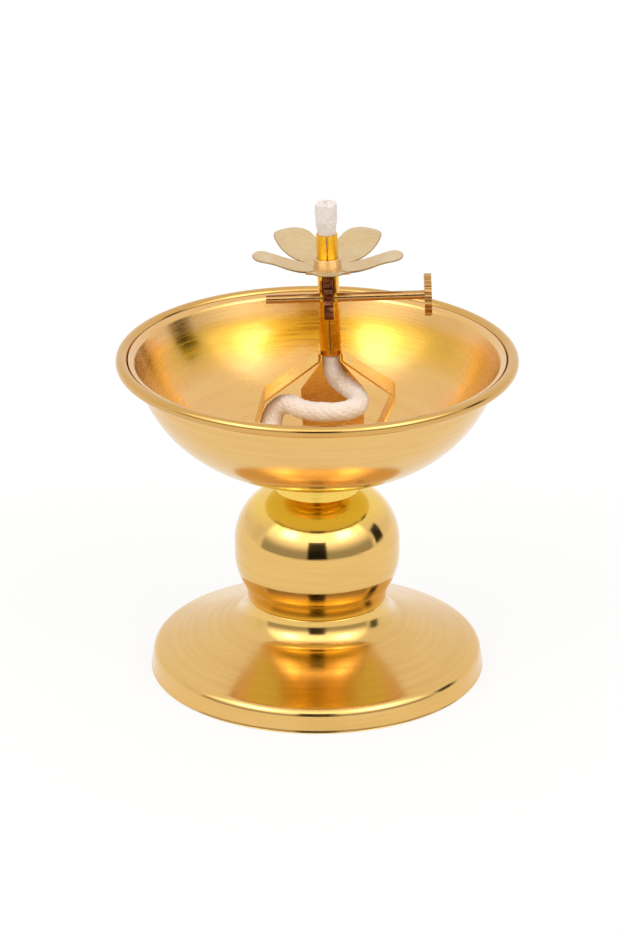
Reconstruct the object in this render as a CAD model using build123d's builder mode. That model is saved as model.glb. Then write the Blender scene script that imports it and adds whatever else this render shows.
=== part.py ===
from build123d import *
from math import acos, atan2, cos, degrees, pi, radians, sin, tan
import os

# Butter lamp. A spun bowl, a hollow ball stem and a flared foot are drawn together by one stud
# and nut. A folded sheet stand carries the cotton wick: it stands loose in the bowl on three
# legs, and a toothed wheel on a cross shaft feeds the wick through its tube.
# Millimetres, +Z up, origin at the middle of the foot on the surface that it stands on.

# Foot
foot_radius = 38.0
skirt_lean = 0.75
skirt_height = 5.2
skirt_round = 1.6
cone_height = 12.9
waist_round = 6.0
foot_wall = 0.8
foot_plate = 0.8
hem_width = 1.6
hem_height = 2.4
seam_land = 0.1

# Stem
waist_radius = 15.0
waist_curve = 6.0
ball_radius = 18.6
ball_round = 13.6
belt_height = 2.2
neck_curve = 5.4
neck_radius = 8.7
neck_length = 2.0
stem_wall = 1.0
stem_web = 1.5

# Bowl
bowl_flat_radius = 10.8
bowl_curve_radius = 30.0
bowl_depth = 24.8
bowl_wall = 0.8
lip_roll = 2.5
lip_land = 1.33
bead_radius = 1.3
bead_lift = 0.3

# Stud, washer and nut
stud_radius = 2.5
stud_hole_clearance = 0.4
stud_end = 1.2
stud_chamfer = 0.5
washer_radius = 7.5
washer_thickness = 1.0
washer_clearance = 0.25
nut_across_flats = 8.0
nut_height = 4.0
thread_clearance = 0.05

# Wick stand: place in the bowl, tube, window and ears
stand_x = 3.0
stand_height = 25.7
stand_tilt = 1.9
tube_radius = 2.35
stand_sheet = 0.45
tube_length = 28.1
tube_slit = 0.25
window_height = 6.0
ear_inset = 0.03
ear_round = 2.0

# Legs of the wick stand
leg_overlap = 0.15
leg_tab = 0.9
leg_bend = 1.2
knee_bend = 1.0
left_knee_reach = 14.9
right_knee_reach = 14.0
knee_drop = 9.7
left_leg_splay = 16.5
left_leg_length = 15.0
right_leg_splay = -25.0
right_leg_length = 17.4
side_leg_root_width = 6.4
side_leg_width = 8.8
rear_leg_drop = 2.8
rear_leg_angle = 24.0
rear_leg_root_width = 4.0
rear_leg_width = 14.0
rear_leg_flare = 8.0
rear_leg_length = 24.3

# Adjuster
shaft_radius = 1.0
shaft_left = 13.8
shaft_right = 22.65
shaft_clearance = 0.05
star_teeth = 18
star_tip_radius = 5.0
star_root_radius = 4.3
star_width = 2.1
star_side_gap = 0.3
star_wick_gap = 0.33
star_tuck = 0.32
thumb_radius = 4.65
thumb_width = 1.6
thumb_scallops = 18
scallop_radius = 0.55
scallop_depth = 0.25

# Flower
flower_drop = 7.7
collar_height = 2.2
collar_wall = 0.6
collar_clearance = 0.03
petal_count = 5
petal_sheet = 0.4
petal_start_radius = 2.6
petal_start_lift = 0.3
petal_start_angle = 4.0
petal_rise_radius = 26.0
petal_rise_angle = 23.0
petal_droop_radius = 9.0
petal_droop_angle = 38.0
petal_length = 17.6
petal_half_width = 4.8

# Wick
wick_clearance = 0.08
wick_below = 0.4
wick_above = 6.9
wick_top_round = 0.6
tail_radius = 2.0
tail_points = [
    (3.01, 0.0, 75.55),
    (3.11, 0.0, 72.4),
    (4.5, 0.9, 69.2),
    (7.3, 0.6, 67.1),
    (9.5, -2.0, 66.0),
    (9.2, -5.6, 65.3),
    (6.0, -7.9, 64.9),
    (1.5, -7.3, 64.6),
    (-3.0, -4.8, 64.0),
    (-6.6, -1.9, 64.9),
    (-9.35, -0.45, 62.85),
    (-10.55, -1.1, 59.5),
    (-10.5, -4.0, 56.7),
    (-9.9, -7.5, 54.4),
    (-8.4, -10.8, 53.2),
    (-5.9, -13.3, 52.9),
]

# Heights that follow from the profiles
skirt_radius = foot_radius - skirt_lean
cone_turn = pi / 2 - atan2(cone_height - skirt_height, skirt_radius - waist_radius)
seam = cone_height + waist_round * tan(cone_turn / 2) + seam_land
ball_ring = ball_radius - ball_round
lower_turn = acos((waist_radius + waist_curve - ball_ring) / (ball_round + waist_curve))
upper_turn = acos((neck_radius + neck_curve - ball_ring) / (ball_round + neck_curve))
belt_bottom = seam + (waist_curve + ball_round) * sin(lower_turn)
neck_bottom = belt_bottom + belt_height + (ball_round + neck_curve) * sin(upper_turn)
bowl_bottom = neck_bottom + neck_length
bowl_floor = bowl_bottom + bowl_wall
bowl_sweep = degrees(acos(1 - bowl_depth / (bowl_curve_radius + lip_roll)))
lip_bottom = bowl_bottom + bowl_depth
bead_centre = bowl_flat_radius + (bowl_curve_radius + lip_roll) * sin(radians(bowl_sweep)) + lip_land
stud_hole_radius = stud_radius + stud_hole_clearance
washer_top = seam - foot_plate
nut_top = washer_top - washer_thickness
stud_bottom = nut_top - nut_height - stud_end

# Fits round the wick: bore, wheel, shaft and flower
bore_radius = tube_radius - stand_sheet
wick_radius = bore_radius - wick_clearance
ear_gap = star_width + 2 * star_side_gap
collar_bottom = tube_length - flower_drop
shaft_offset = wick_radius + star_wick_gap + star_tip_radius
shaft_height = collar_bottom + star_tuck - star_tip_radius

# Planes of the tilted wick stand: from above, from the front and from the side
stand_origin = (stand_x, 0, bowl_floor + stand_height)
stand_across = (cos(radians(stand_tilt)), 0, sin(radians(stand_tilt)))
stand_up = (-sin(radians(stand_tilt)), 0, cos(radians(stand_tilt)))
stand_top = Plane(origin=stand_origin, x_dir=stand_across, z_dir=stand_up)
stand_front = Plane(origin=stand_origin, x_dir=stand_across, z_dir=(0, -1, 0))
stand_side = Plane(origin=stand_origin, x_dir=(0, 1, 0), z_dir=stand_across)


def ring_section(inner, bottom, outer, top):
    with Locations(((inner + outer) / 2, (bottom + top) / 2)):
        Rectangle(outer - inner, top - bottom)


os.makedirs("parts", exist_ok=True)

# Foot: a flared shell, its top plate and the folded hem that it stands on
with BuildPart() as foot:
    with BuildSketch(Plane.XZ):
        with BuildLine():
            FilletPolyline(
                (foot_radius, 0),
                (skirt_radius, skirt_height),
                (waist_radius, cone_height),
                (waist_radius, seam),
                radius=[skirt_round, waist_round],
            )
            offset(amount=foot_wall, side=Side.LEFT)
        make_face()
        ring_section(stud_hole_radius, seam - foot_plate, waist_radius - foot_wall / 2, seam)
        ring_section(foot_radius - hem_width, 0, foot_radius - foot_wall, hem_height)
    revolve(axis=Axis.Z)
foot.part.label = "foot"
export_step(foot.part, "parts/foot.step")

# Stem: a hollow ball between two necks, closed at the top by a web for the stud
with BuildPart() as stem:
    with BuildSketch(Plane.XZ):
        with BuildLine():
            waist = JernArc((waist_radius, seam), (0, 1), waist_curve, -degrees(lower_turn))
            lower_ball = JernArc(waist @ 1, waist % 1, ball_round, degrees(lower_turn))
            belt = Line(lower_ball @ 1, lower_ball @ 1 + Vector(0, belt_height))
            upper_ball = JernArc(belt @ 1, belt % 1, ball_round, degrees(upper_turn))
            shoulder = JernArc(upper_ball @ 1, upper_ball % 1, neck_curve, -degrees(upper_turn))
            Line(shoulder @ 1, shoulder @ 1 + Vector(0, neck_length))
            offset(amount=stem_wall, side=Side.LEFT)
        make_face()
        ring_section(stud_hole_radius, bowl_bottom - stem_web, neck_radius - stem_wall / 2, bowl_bottom)
    revolve(axis=Axis.Z)
stem.part.label = "stem"
export_step(stem.part, "parts/stem.step")

# Bowl: a round-sided dish whose lip rolls outwards into a bead
with BuildPart() as bowl:
    with BuildSketch(Plane.XZ):
        with BuildLine():
            base = Line((0, bowl_bottom), (bowl_flat_radius, bowl_bottom))
            side = JernArc(base @ 1, base % 1, bowl_curve_radius, bowl_sweep)
            roll = JernArc(side @ 1, side % 1, lip_roll, -bowl_sweep)
            Line(roll @ 1, (bead_centre, lip_bottom))
            offset(amount=bowl_wall, side=Side.LEFT)
        make_face()
        with Locations((bead_centre, lip_bottom + bead_lift)):
            Circle(bead_radius)
    revolve(axis=Axis.Z)
bowl.part.label = "bowl"
export_step(bowl.part, "parts/bowl.step")

# Stud under the bowl, washer and nut that pull the three shells together
with BuildPart() as tie_stud:
    with BuildSketch(Plane.XY.offset(stud_bottom)):
        Circle(stud_radius)
    extrude(amount=bowl_bottom - stud_bottom)
    chamfer(tie_stud.edges().sort_by(Axis.Z)[0], stud_chamfer)
tie_stud.part.label = "tie_stud"
export_step(tie_stud.part, "parts/tie_stud.step")

with BuildPart() as clamp_washer:
    with BuildSketch(Plane.XY.offset(nut_top)):
        Circle(washer_radius)
        Circle(stud_radius + washer_clearance, mode=Mode.SUBTRACT)
    extrude(amount=washer_thickness)
clamp_washer.part.label = "clamp_washer"
export_step(clamp_washer.part, "parts/clamp_washer.step")

with BuildPart() as clamp_nut:
    with BuildSketch(Plane.XY.offset(nut_top - nut_height)):
        RegularPolygon(nut_across_flats / 2, 6, major_radius=False)
        Circle(stud_radius + thread_clearance, mode=Mode.SUBTRACT)
    extrude(amount=nut_height)
clamp_nut.part.label = "clamp_nut"
export_step(clamp_nut.part, "parts/clamp_nut.step")

# Legs of the wick stand: each is a bent strip, cut to its outline as seen square on
leg_root = tube_radius - leg_overlap


def bent_leg(profile_plane, profile, bends, side, outline_plane, outline):
    with BuildPart() as leg:
        with BuildSketch(profile_plane):
            with BuildLine():
                FilletPolyline(*profile, radius=bends)
                offset(amount=stand_sheet, side=side)
            make_face()
        extrude(amount=rear_leg_width, both=True)
        with BuildSketch(outline_plane):
            Polygon(*outline, align=None)
        extrude(amount=2 * stand_height, both=True, mode=Mode.INTERSECT)
    return leg.part


# A side leg slopes from the tube to a knee and then goes down to the bowl's floor
def side_leg(direction, knee_reach, splay, length, side):
    foot_reach = knee_reach + length * sin(radians(splay))
    foot_drop = knee_drop + length * cos(radians(splay))
    profile = [
        (direction * leg_root, leg_tab),
        (direction * leg_root, -leg_tab),
        (direction * knee_reach, -knee_drop),
        (direction * foot_reach, -foot_drop),
    ]
    half_outline = [
        (0, side_leg_root_width / 2),
        (direction * leg_root, side_leg_root_width / 2),
        (direction * knee_reach, side_leg_width / 2),
        (direction * (knee_reach + length), side_leg_width / 2),
    ]
    outline = half_outline + [(x, -y) for x, y in reversed(half_outline)]
    return bent_leg(stand_front, profile, [leg_bend, knee_bend], side, stand_top, outline)


left_leg = side_leg(-1, left_knee_reach, left_leg_splay, left_leg_length, Side.RIGHT)
right_leg = side_leg(1, right_knee_reach, right_leg_splay, right_leg_length, Side.LEFT)

# The rear leg widens downwards and leans back
rear_reach = leg_root + rear_leg_length * sin(radians(rear_leg_angle))
rear_drop = rear_leg_drop + rear_leg_length * cos(radians(rear_leg_angle))
rear_profile = [(leg_root, leg_tab), (leg_root, -rear_leg_drop), (rear_reach, -rear_drop)]
half_rear = [
    (rear_leg_root_width / 2, leg_tab),
    (rear_leg_root_width / 2, -rear_leg_drop),
    (rear_leg_width / 2, -rear_leg_drop - rear_leg_flare),
    (rear_leg_width / 2, -2 * stand_height),
]
rear_outline = half_rear + [(-x, y) for x, y in reversed(half_rear)]
rear_leg = bent_leg(stand_side, rear_profile, [leg_bend], Side.LEFT, stand_front, rear_outline)

# Wick stand: slit tube with a window in front, two ears for the shaft, and the three legs
with BuildPart() as wick_stand:
    with BuildSketch(stand_top):
        Circle(tube_radius)
        Circle(bore_radius, mode=Mode.SUBTRACT)
        with Locations((0, -tube_radius)):
            Rectangle(tube_slit, 4 * stand_sheet, mode=Mode.SUBTRACT)
    extrude(amount=tube_length)
    with BuildSketch(stand_front):
        with Locations((0, shaft_height)):
            Rectangle(ear_gap, window_height)
    extrude(amount=2 * tube_radius, mode=Mode.SUBTRACT)
    ear_root = (bore_radius ** 2 - (ear_gap / 2) ** 2) ** 0.5 + ear_inset
    for ear_x in (-ear_gap / 2 - stand_sheet, ear_gap / 2):
        with BuildSketch(stand_side.offset(ear_x)):
            ring_section(-shaft_offset, shaft_height - ear_round, -ear_root, shaft_height + ear_round)
            with Locations((-shaft_offset, shaft_height)):
                Circle(ear_round)
                Circle(shaft_radius + shaft_clearance, mode=Mode.SUBTRACT)
        extrude(amount=stand_sheet)
    add(left_leg)
    add(right_leg)
    add(rear_leg)
wick_stand.part.label = "wick_stand"
export_step(wick_stand.part, "parts/wick_stand.step")

# Flower: a collar on the tube and bent sheet petals that rise and then droop at the tips
with BuildPart() as petal:
    with BuildSketch(Plane.XZ):
        with BuildLine():
            rise = JernArc(
                (petal_start_radius, collar_bottom + petal_start_lift),
                (cos(radians(petal_start_angle)), sin(radians(petal_start_angle))),
                petal_rise_radius,
                petal_rise_angle,
            )
            JernArc(rise @ 1, rise % 1, petal_droop_radius, -petal_droop_angle)
            offset(amount=petal_sheet, side=Side.LEFT)
        make_face()
    extrude(amount=2 * petal_half_width, both=True)
    with BuildSketch(Plane.XY):
        with BuildLine():
            edge = Spline(
                (0, petal_half_width * 0.3),
                (petal_length * 0.4, petal_half_width * 0.68),
                (petal_length * 0.7, petal_half_width),
                (petal_length * 0.91, petal_half_width * 0.72),
                (petal_length, 0),
                tangents=[(1, 0.2), (0, -1)],
            )
            Line(edge @ 0, (0, 0))
            mirror(about=Plane.XZ)
        make_face()
    extrude(amount=2 * tube_length, mode=Mode.INTERSECT)

with BuildPart() as flower:
    with BuildSketch(stand_top.offset(collar_bottom)):
        Circle(tube_radius + collar_clearance + collar_wall)
        Circle(tube_radius + collar_clearance, mode=Mode.SUBTRACT)
    extrude(amount=collar_height)
    with Locations(stand_top.location):
        with PolarLocations(0, petal_count, start_angle=-90):
            add(petal.part)
flower.part.label = "flower"
export_step(flower.part, "parts/flower.step")

# Adjuster: cross shaft in the ears, star wheel in the window, thumb wheel at the right end
with BuildPart() as adjuster_shaft:
    with BuildSketch(stand_side.offset(-shaft_left)):
        with Locations((-shaft_offset, shaft_height)):
            Circle(shaft_radius)
    extrude(amount=shaft_left + shaft_right)
adjuster_shaft.part.label = "adjuster_shaft"
export_step(adjuster_shaft.part, "parts/adjuster_shaft.step")

with BuildPart() as star_wheel:
    with BuildSketch(stand_side.offset(-star_width / 2)):
        with BuildLine():
            corners = []
            for half_tooth in range(2 * star_teeth):
                reach = star_root_radius if half_tooth % 2 else star_tip_radius
                turn = pi * half_tooth / star_teeth
                corners.append((-shaft_offset + reach * cos(turn), shaft_height + reach * sin(turn)))
            Polyline(*corners, close=True)
        make_face()
        with Locations((-shaft_offset, shaft_height)):
            Circle(shaft_radius, mode=Mode.SUBTRACT)
    extrude(amount=star_width)
star_wheel.part.label = "star_wheel"
export_step(star_wheel.part, "parts/star_wheel.step")

with BuildPart() as thumb_wheel:
    with BuildSketch(stand_side.offset(shaft_right - thumb_width)):
        with Locations((-shaft_offset, shaft_height)):
            Circle(thumb_radius)
            Circle(shaft_radius, mode=Mode.SUBTRACT)
            with PolarLocations(thumb_radius - scallop_depth + scallop_radius, thumb_scallops):
                Circle(scallop_radius, mode=Mode.SUBTRACT)
    extrude(amount=thumb_width)
thumb_wheel.part.label = "thumb_wheel"
export_step(thumb_wheel.part, "parts/thumb_wheel.step")

# Wick: the straight length in the tube, and the tail that lies folded in the bowl
with BuildPart() as wick:
    with BuildSketch(stand_top.offset(-wick_below)):
        Circle(wick_radius)
    extrude(amount=wick_below + tube_length + wick_above)
    fillet(wick.edges().sort_by(Axis.Z)[-1], wick_top_round)
wick.part.label = "wick"
export_step(wick.part, "parts/wick.step")

tail_runs = [Vector(*end) - Vector(*start) for start, end in zip(tail_points, tail_points[1:])]
tail_bends = []
for before, after in zip(tail_runs, tail_runs[1:]):
    half_turn = radians(before.get_angle(after)) / 2
    tail_bends.append(0.45 * min(before.length, after.length) / tan(half_turn))
with BuildPart() as wick_tail:
    with BuildLine() as tail_path:
        FilletPolyline(*tail_points, radius=tail_bends)
    with BuildSketch(Plane(origin=tail_path.line @ 0, z_dir=tail_path.line % 0)):
        Circle(tail_radius)
    sweep(path=tail_path.line)
wick_tail.part.label = "wick_tail"
export_step(wick_tail.part, "parts/wick_tail.step")
tail_length = sum(edge.length for edge in tail_path.edges())
print("tail bends", [round(bend, 2) for bend in tail_bends])
print("tail length", round(tail_length, 2))
print("tail volume", round(wick_tail.part.volume, 1), "section x length", round(pi * tail_radius ** 2 * tail_length, 1))
print("shaft at", round(shaft_offset, 3), round(shaft_height, 3), "bowl floor", round(bowl_floor, 3))
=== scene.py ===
import math

import bmesh
import bpy
import numpy as np
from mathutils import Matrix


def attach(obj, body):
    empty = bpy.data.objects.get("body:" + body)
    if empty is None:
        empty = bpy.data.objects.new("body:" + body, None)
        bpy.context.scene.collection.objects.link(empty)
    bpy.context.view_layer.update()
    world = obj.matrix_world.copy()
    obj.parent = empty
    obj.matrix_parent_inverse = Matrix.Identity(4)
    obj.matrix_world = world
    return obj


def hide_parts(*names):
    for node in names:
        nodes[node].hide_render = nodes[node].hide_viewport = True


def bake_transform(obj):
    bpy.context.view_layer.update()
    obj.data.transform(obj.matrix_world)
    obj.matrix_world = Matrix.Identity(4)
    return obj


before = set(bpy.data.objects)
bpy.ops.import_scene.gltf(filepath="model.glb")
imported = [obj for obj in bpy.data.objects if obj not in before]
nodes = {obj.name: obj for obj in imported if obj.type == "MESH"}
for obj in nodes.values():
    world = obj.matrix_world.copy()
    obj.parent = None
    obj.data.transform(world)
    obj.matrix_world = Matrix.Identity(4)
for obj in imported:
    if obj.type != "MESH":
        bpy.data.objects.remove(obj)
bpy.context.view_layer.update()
scene = bpy.context.scene
print("frame loaded")

# Lengths below are millimetres unless noted, and go to metres where a mesh is made.
mm = 0.001

# Camera at the photo's angle
view = dict(elevation=22.51, distance=0.9339, target=(-0.0015, 0, 0.04875), focal=4142, height=931)
lift = math.radians(view["elevation"])
camera = bpy.data.objects.new("camera", bpy.data.cameras.new("camera"))
camera.location = np.array(view["target"]) + view["distance"] * np.array([0, -math.cos(lift), math.sin(lift)])
camera.rotation_euler = (math.pi / 2 - lift, 0, 0)
camera.data.sensor_fit = 'VERTICAL'
camera.data.sensor_height = 36
camera.data.lens = 36 * view["focal"] / view["height"]
camera.data.clip_start = 0.01
scene.collection.objects.link(camera)
scene.camera = camera
scene.view_settings.view_transform = 'Standard'
print("camera set")


# Mesh tools
def newMesh(name, points, faces, sharpAngle=40, rows=None, uv=None):
    mesh = bpy.data.meshes.new(name)
    mesh.from_pydata((np.asarray(points) * mm).tolist(), [], np.asarray(faces).tolist())
    if rows is not None:
        mesh.polygons.foreach_set("material_index", np.asarray(rows, np.int32))
    if uv is not None:
        mesh.uv_layers.new(name="along").uv.foreach_set("vector", np.asarray(uv, np.float32).ravel())
    work = bmesh.new()
    work.from_mesh(mesh)
    bmesh.ops.remove_doubles(work, verts=work.verts, dist=1e-7)
    bmesh.ops.recalc_face_normals(work, faces=work.faces)
    work.to_mesh(mesh)
    work.free()
    mesh.shade_smooth()
    mesh.set_sharp_from_angle(angle=math.radians(sharpAngle))
    piece = bpy.data.objects.new(name, mesh)
    scene.collection.objects.link(piece)
    return piece


def gridFaces(rows, cols, closeRows=False, closeCols=False):
    # quads of a grid of points numbered row by row
    i = np.arange(rows if closeRows else rows - 1)[:, None]
    j = np.arange(cols if closeCols else cols - 1)[None, :]
    nextI, nextJ = (i + 1) % rows, (j + 1) % cols
    quads = [i * cols + j, i * cols + nextJ, nextI * cols + nextJ, nextI * cols + j]
    return np.stack(np.broadcast_arrays(*quads), -1).reshape(-1, 4)


def arc(centre, radius, startDeg, endDeg, count):
    turn = np.radians(np.linspace(startDeg, endDeg, count))
    return np.stack([centre[0] + radius * np.cos(turn), centre[1] + radius * np.sin(turn)], -1)


def line(start, end, count=2):
    share = np.linspace(0, 1, count)[:, None]
    return np.asarray(start) * (1 - share) + np.asarray(end) * share


def cornerArc(before, corner, after, radius, count):
    # arc of that radius tangent to both straight lines at a corner
    a = np.subtract(before, corner) / np.linalg.norm(np.subtract(before, corner))
    b = np.subtract(after, corner) / np.linalg.norm(np.subtract(after, corner))
    half = math.acos(float(a @ b)) / 2
    centre = np.asarray(corner) + (a + b) / np.linalg.norm(a + b) * radius / math.sin(half)
    first = np.asarray(corner) + a * radius / math.tan(half) - centre
    last = np.asarray(corner) + b * radius / math.tan(half) - centre
    share = np.linspace(0, 1, count)[:, None]
    angle = math.pi - 2 * half
    return centre + (first * np.sin((1 - share) * angle) + last * np.sin(share * angle)) / math.sin(angle)


def offsetLine(points, amount):
    # every point moved square to the line's own direction, to the left of it
    along = np.gradient(points, axis=0)
    along /= np.linalg.norm(along, axis=1)[:, None]
    return points + amount * np.stack([-along[:, 1], along[:, 0]], -1)


def lathe(name, parts, segments=288, closed=True):
    # each profile point (r, z) turned about Z: x = r cos t, y = r sin t
    # parts are stretches of the profile, and each stretch has its own material index
    profile = np.concatenate([points for points, finish in parts])
    finishes = np.concatenate([np.full(len(points), finish) for points, finish in parts])
    turn = np.linspace(0, 2 * np.pi, segments, endpoint=False)[None, :]
    r, z = profile[:, :1], profile[:, 1:]
    grid = np.stack(np.broadcast_arrays(r * np.cos(turn), r * np.sin(turn), z), -1)
    faces = gridFaces(len(profile), segments, closeRows=closed, closeCols=True)
    rows = np.repeat(finishes if closed else finishes[:-1], segments)
    return newMesh(name, grid.reshape(-1, 3), faces, rows=rows)


def standPlace(points, tilt=math.radians(1.9), origin=(3.0, 0, 75.973)):
    # from the leaning wick stand's own axes to the lamp's: a turn about Y and a shift
    x, y, z = np.moveaxis(np.asarray(points, float), -1, 0)
    c, s = math.cos(tilt), math.sin(tilt)
    return np.stack([origin[0] + x * c - z * s, origin[1] + y, origin[2] + x * s + z * c], -1)


# Cotton wick: one tube from the lit end, down through the stand's tube and along its route in the bowl
wick = dict(
    route=[
        (3.01, 0.0, 75.55), (3.11, 0.0, 72.4), (4.5, 0.9, 69.2), (7.3, 0.6, 67.1), (9.5, -2.0, 66.0),
        (9.2, -5.6, 65.3), (6.0, -7.9, 64.9), (1.5, -7.3, 64.6), (-3.0, -4.8, 64.0), (-6.6, -1.9, 64.9),
        (-9.35, -0.45, 62.85), (-10.55, -1.1, 59.5), (-10.5, -4.0, 56.7), (-9.9, -7.5, 54.4),
        (-8.4, -10.8, 53.2), (-5.9, -13.3, 52.9),
    ],
    topHeight=35.5, tubeTop=28.1, litRadius=2.4, mouthRadius=2.05, tubeRadius=1.8, tailRadius=2.15, endRadius=2.5,
    around=120, step=0.2, carriers=9, pitch=1.7, litRelief=0.10, tailRelief=0.20, lump=0.09, lumpFrom=1.95,
    ragged=0.45, raggedDepth=2.5, endRound=0.7, endLeast=0.18, capLift=0.1, mouthDrop=1.0, mouthEase=3.5,
    fibres=1100, fibreLength=0.9, fibreWidth=0.022, fibreRoot=0.12, fibreKnots=5, topShare=0.22, stray=0.8,
    crownRings=8, crownRise=0.9,
)


def routeLine(points):
    # points along a NURBS curve that has the route as its control points
    curve = bpy.data.curves.new("wickRoute", 'CURVE')
    curve.dimensions = '3D'
    curve.resolution_u = 24
    spline = curve.splines.new('NURBS')
    spline.points.add(len(points) - 1)
    spline.points.foreach_set("co", np.c_[np.asarray(points), np.ones(len(points))].ravel())
    spline.order_u = 3
    spline.use_endpoint_u = True
    spline.resolution_u = 24
    bare = bpy.data.objects.new("wickRoute", curve)
    mesh = bpy.data.meshes.new_from_object(bare)
    found = np.empty(3 * len(mesh.vertices), np.float32)
    mesh.vertices.foreach_get("co", found)
    bpy.data.meshes.remove(mesh)
    bpy.data.curves.remove(curve)
    return found.reshape(-1, 3).astype(float)


def evenly(points, step):
    # the same line with points an even step apart, and how far along each is
    along = np.concatenate([[0], np.cumsum(np.linalg.norm(np.diff(points, axis=0), axis=1))])
    at = np.linspace(0, along[-1], int(along[-1] / step) + 1)
    return np.stack([np.interp(at, along, points[:, k]) for k in range(3)], -1), at


def ringAxes(points):
    # two directions square to the line at each ring, carried along it without twist
    ahead = np.gradient(points, axis=0)
    ahead /= np.linalg.norm(ahead, axis=1)[:, None]
    side = np.empty_like(ahead)
    side[0] = np.cross(ahead[0], (0, 1, 0))
    for k in range(1, len(side)):
        side[k] = side[k - 1] - ahead[k] * (side[k - 1] @ ahead[k])
    side /= np.linalg.norm(side, axis=1)[:, None]
    return ahead, side, np.cross(ahead, side)


litEnd = standPlace((0, 0, wick["topHeight"]))
wholeLine = np.concatenate([line(litEnd, wick["route"][0], 40)[:-1], routeLine(wick["route"])])
centres, along = evenly(wholeLine, wick["step"])
ahead, side, across = ringAxes(centres)
inTube = wick["topHeight"] - wick["tubeTop"]
mouthBelow = wick["topHeight"] + wick["mouthDrop"]
bulk = np.interp(
    along,
    [
        0, inTube - 3, inTube - 0.6, inTube + 0.4,
        mouthBelow, mouthBelow + wick["mouthEase"], along[-1] - 22, along[-1] - 10,
    ],
    [wick[key + "Radius"] for key in ("lit", "lit", "mouth", "tube", "tube", "tail", "tail", "end")],
)
ends = np.minimum(along, along[-1] - along)
# both ends close in a quarter round
closing = np.sqrt(np.clip(1 - (1 - np.clip(ends / wick["endRound"], 0, 1)) ** 2, 0, 1))
bulk *= closing * (1 - wick["endLeast"]) + wick["endLeast"]
turn = np.linspace(0, 2 * np.pi, wick["around"], endpoint=False)[None, :]
s = along[:, None]
# braid: two sets of strands wind opposite ways, and each rises where it crosses over the other
spin = 2 * np.pi * s / wick["pitch"]
wind, back = wick["carriers"] * turn + spin, wick["carriers"] * turn - spin
braid = np.maximum(
    np.abs(np.cos(wind / 2)) * (0.75 + 0.25 * np.sin(back)),
    np.abs(np.cos(back / 2)) * (0.75 - 0.25 * np.sin(wind)),
)
# soft lumps: a few slow waves round and along the wick
lumps = np.sin(0.9 * s + 2 * turn) + 0.7 * np.sin(1.7 * s - 3 * turn + 1.1) + 0.5 * np.sin(0.53 * s + turn + 2.3)
relief = np.interp(s, [mouthBelow - 2, mouthBelow + 4], [wick["litRelief"], wick["tailRelief"]])
r = bulk[:, None] + relief * (braid - 0.6) + wick["lump"] * lumps / 2 * (bulk[:, None] > wick["lumpFrom"])
ringOut = np.cos(turn)[..., None] * side[:, None] + np.sin(turn)[..., None] * across[:, None]
tubePoints = centres[:, None] + r[..., None] * ringOut
# the cut end is ragged: the first rings rise and fall in waves round the wick
ragged = wick["ragged"] * (
    0.6 * np.sin(turn + 0.6) + 0.5 * np.sin(3 * turn + 1) + 0.35 * np.sin(8 * turn + 2) + 0.25 * np.sin(13 * turn)
)
tubePoints -= ahead[:, None] * (ragged * np.clip(1 - s / wick["raggedDepth"], 0, 1))[..., None]
rings, columns = r.shape
caps = np.array([centres[0] - wick["capLift"] * ahead[0], centres[-1] + wick["capLift"] * ahead[-1]])
tubeFaces = gridFaces(rings, columns, closeCols=True)
j = np.arange(columns)
nextJ, lastRing = (j + 1) % columns, (rings - 1) * columns
capFaces = np.concatenate([
    np.stack([np.full(columns, rings * columns), nextJ, j], -1),
    np.stack([np.full(columns, rings * columns + 1), lastRing + j, lastRing + nextJ], -1),
])
# loose fibres: thin three-sided hairs that leave the surface, curl over and end in a point
chance = np.random.default_rng(7)
fromTop = chance.random(wick["fibres"]) < wick["topShare"]
ring = np.where(
    fromTop,
    chance.integers(0, int(inTube / wick["step"]) - 4, wick["fibres"]),
    chance.integers(int((mouthBelow + 2.5) / wick["step"]), rings - 1, wick["fibres"]),
)
place = chance.random(wick["fibres"]) * 2 * np.pi
out = np.cos(place)[:, None] * side[ring] + np.sin(place)[:, None] * across[ring]
sideways = np.cross(ahead[ring], out)
drift = ahead[ring] * chance.normal(0, wick["stray"], (wick["fibres"], 1))
drift += sideways * chance.normal(0, wick["stray"], (wick["fibres"], 1))
reach = wick["fibreLength"] * (0.35 + 0.65 * chance.random((wick["fibres"], 1)))
drift -= ahead[ring] * np.where(ring < wick["crownRings"], wick["crownRise"], 0)[:, None]
t = np.linspace(0, 1, wick["fibreKnots"])[None, :, None]
root = centres[ring] + out * (bulk[ring] - wick["fibreRoot"])[:, None]
hairLine = root[:, None] + reach[:, None] * (
    out[:, None] * (0.75 * t - 0.35 * t ** 2) + drift[:, None] * (0.25 * t + 0.45 * t ** 2)
)
spoke = np.radians([90, 210, 330])
thin = wick["fibreWidth"] * (1.05 - t[..., None] * 0.9)
hair = hairLine[:, :, None] + thin * (
    np.cos(spoke)[None, None, :, None] * ahead[ring][:, None, None]
    + np.sin(spoke)[None, None, :, None] * sideways[:, None, None]
)
hairPoints = wick["fibreKnots"] * len(spoke)
hairFaces = gridFaces(wick["fibreKnots"], len(spoke), closeCols=True)[None]
hairFaces = hairFaces + (np.arange(wick["fibres"]) * hairPoints)[:, None, None]
firstHair = rings * columns + len(caps)
faceList = [*tubeFaces.tolist(), *capFaces.tolist(), *(hairFaces.reshape(-1, 4) + firstHair).tolist()]
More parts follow.
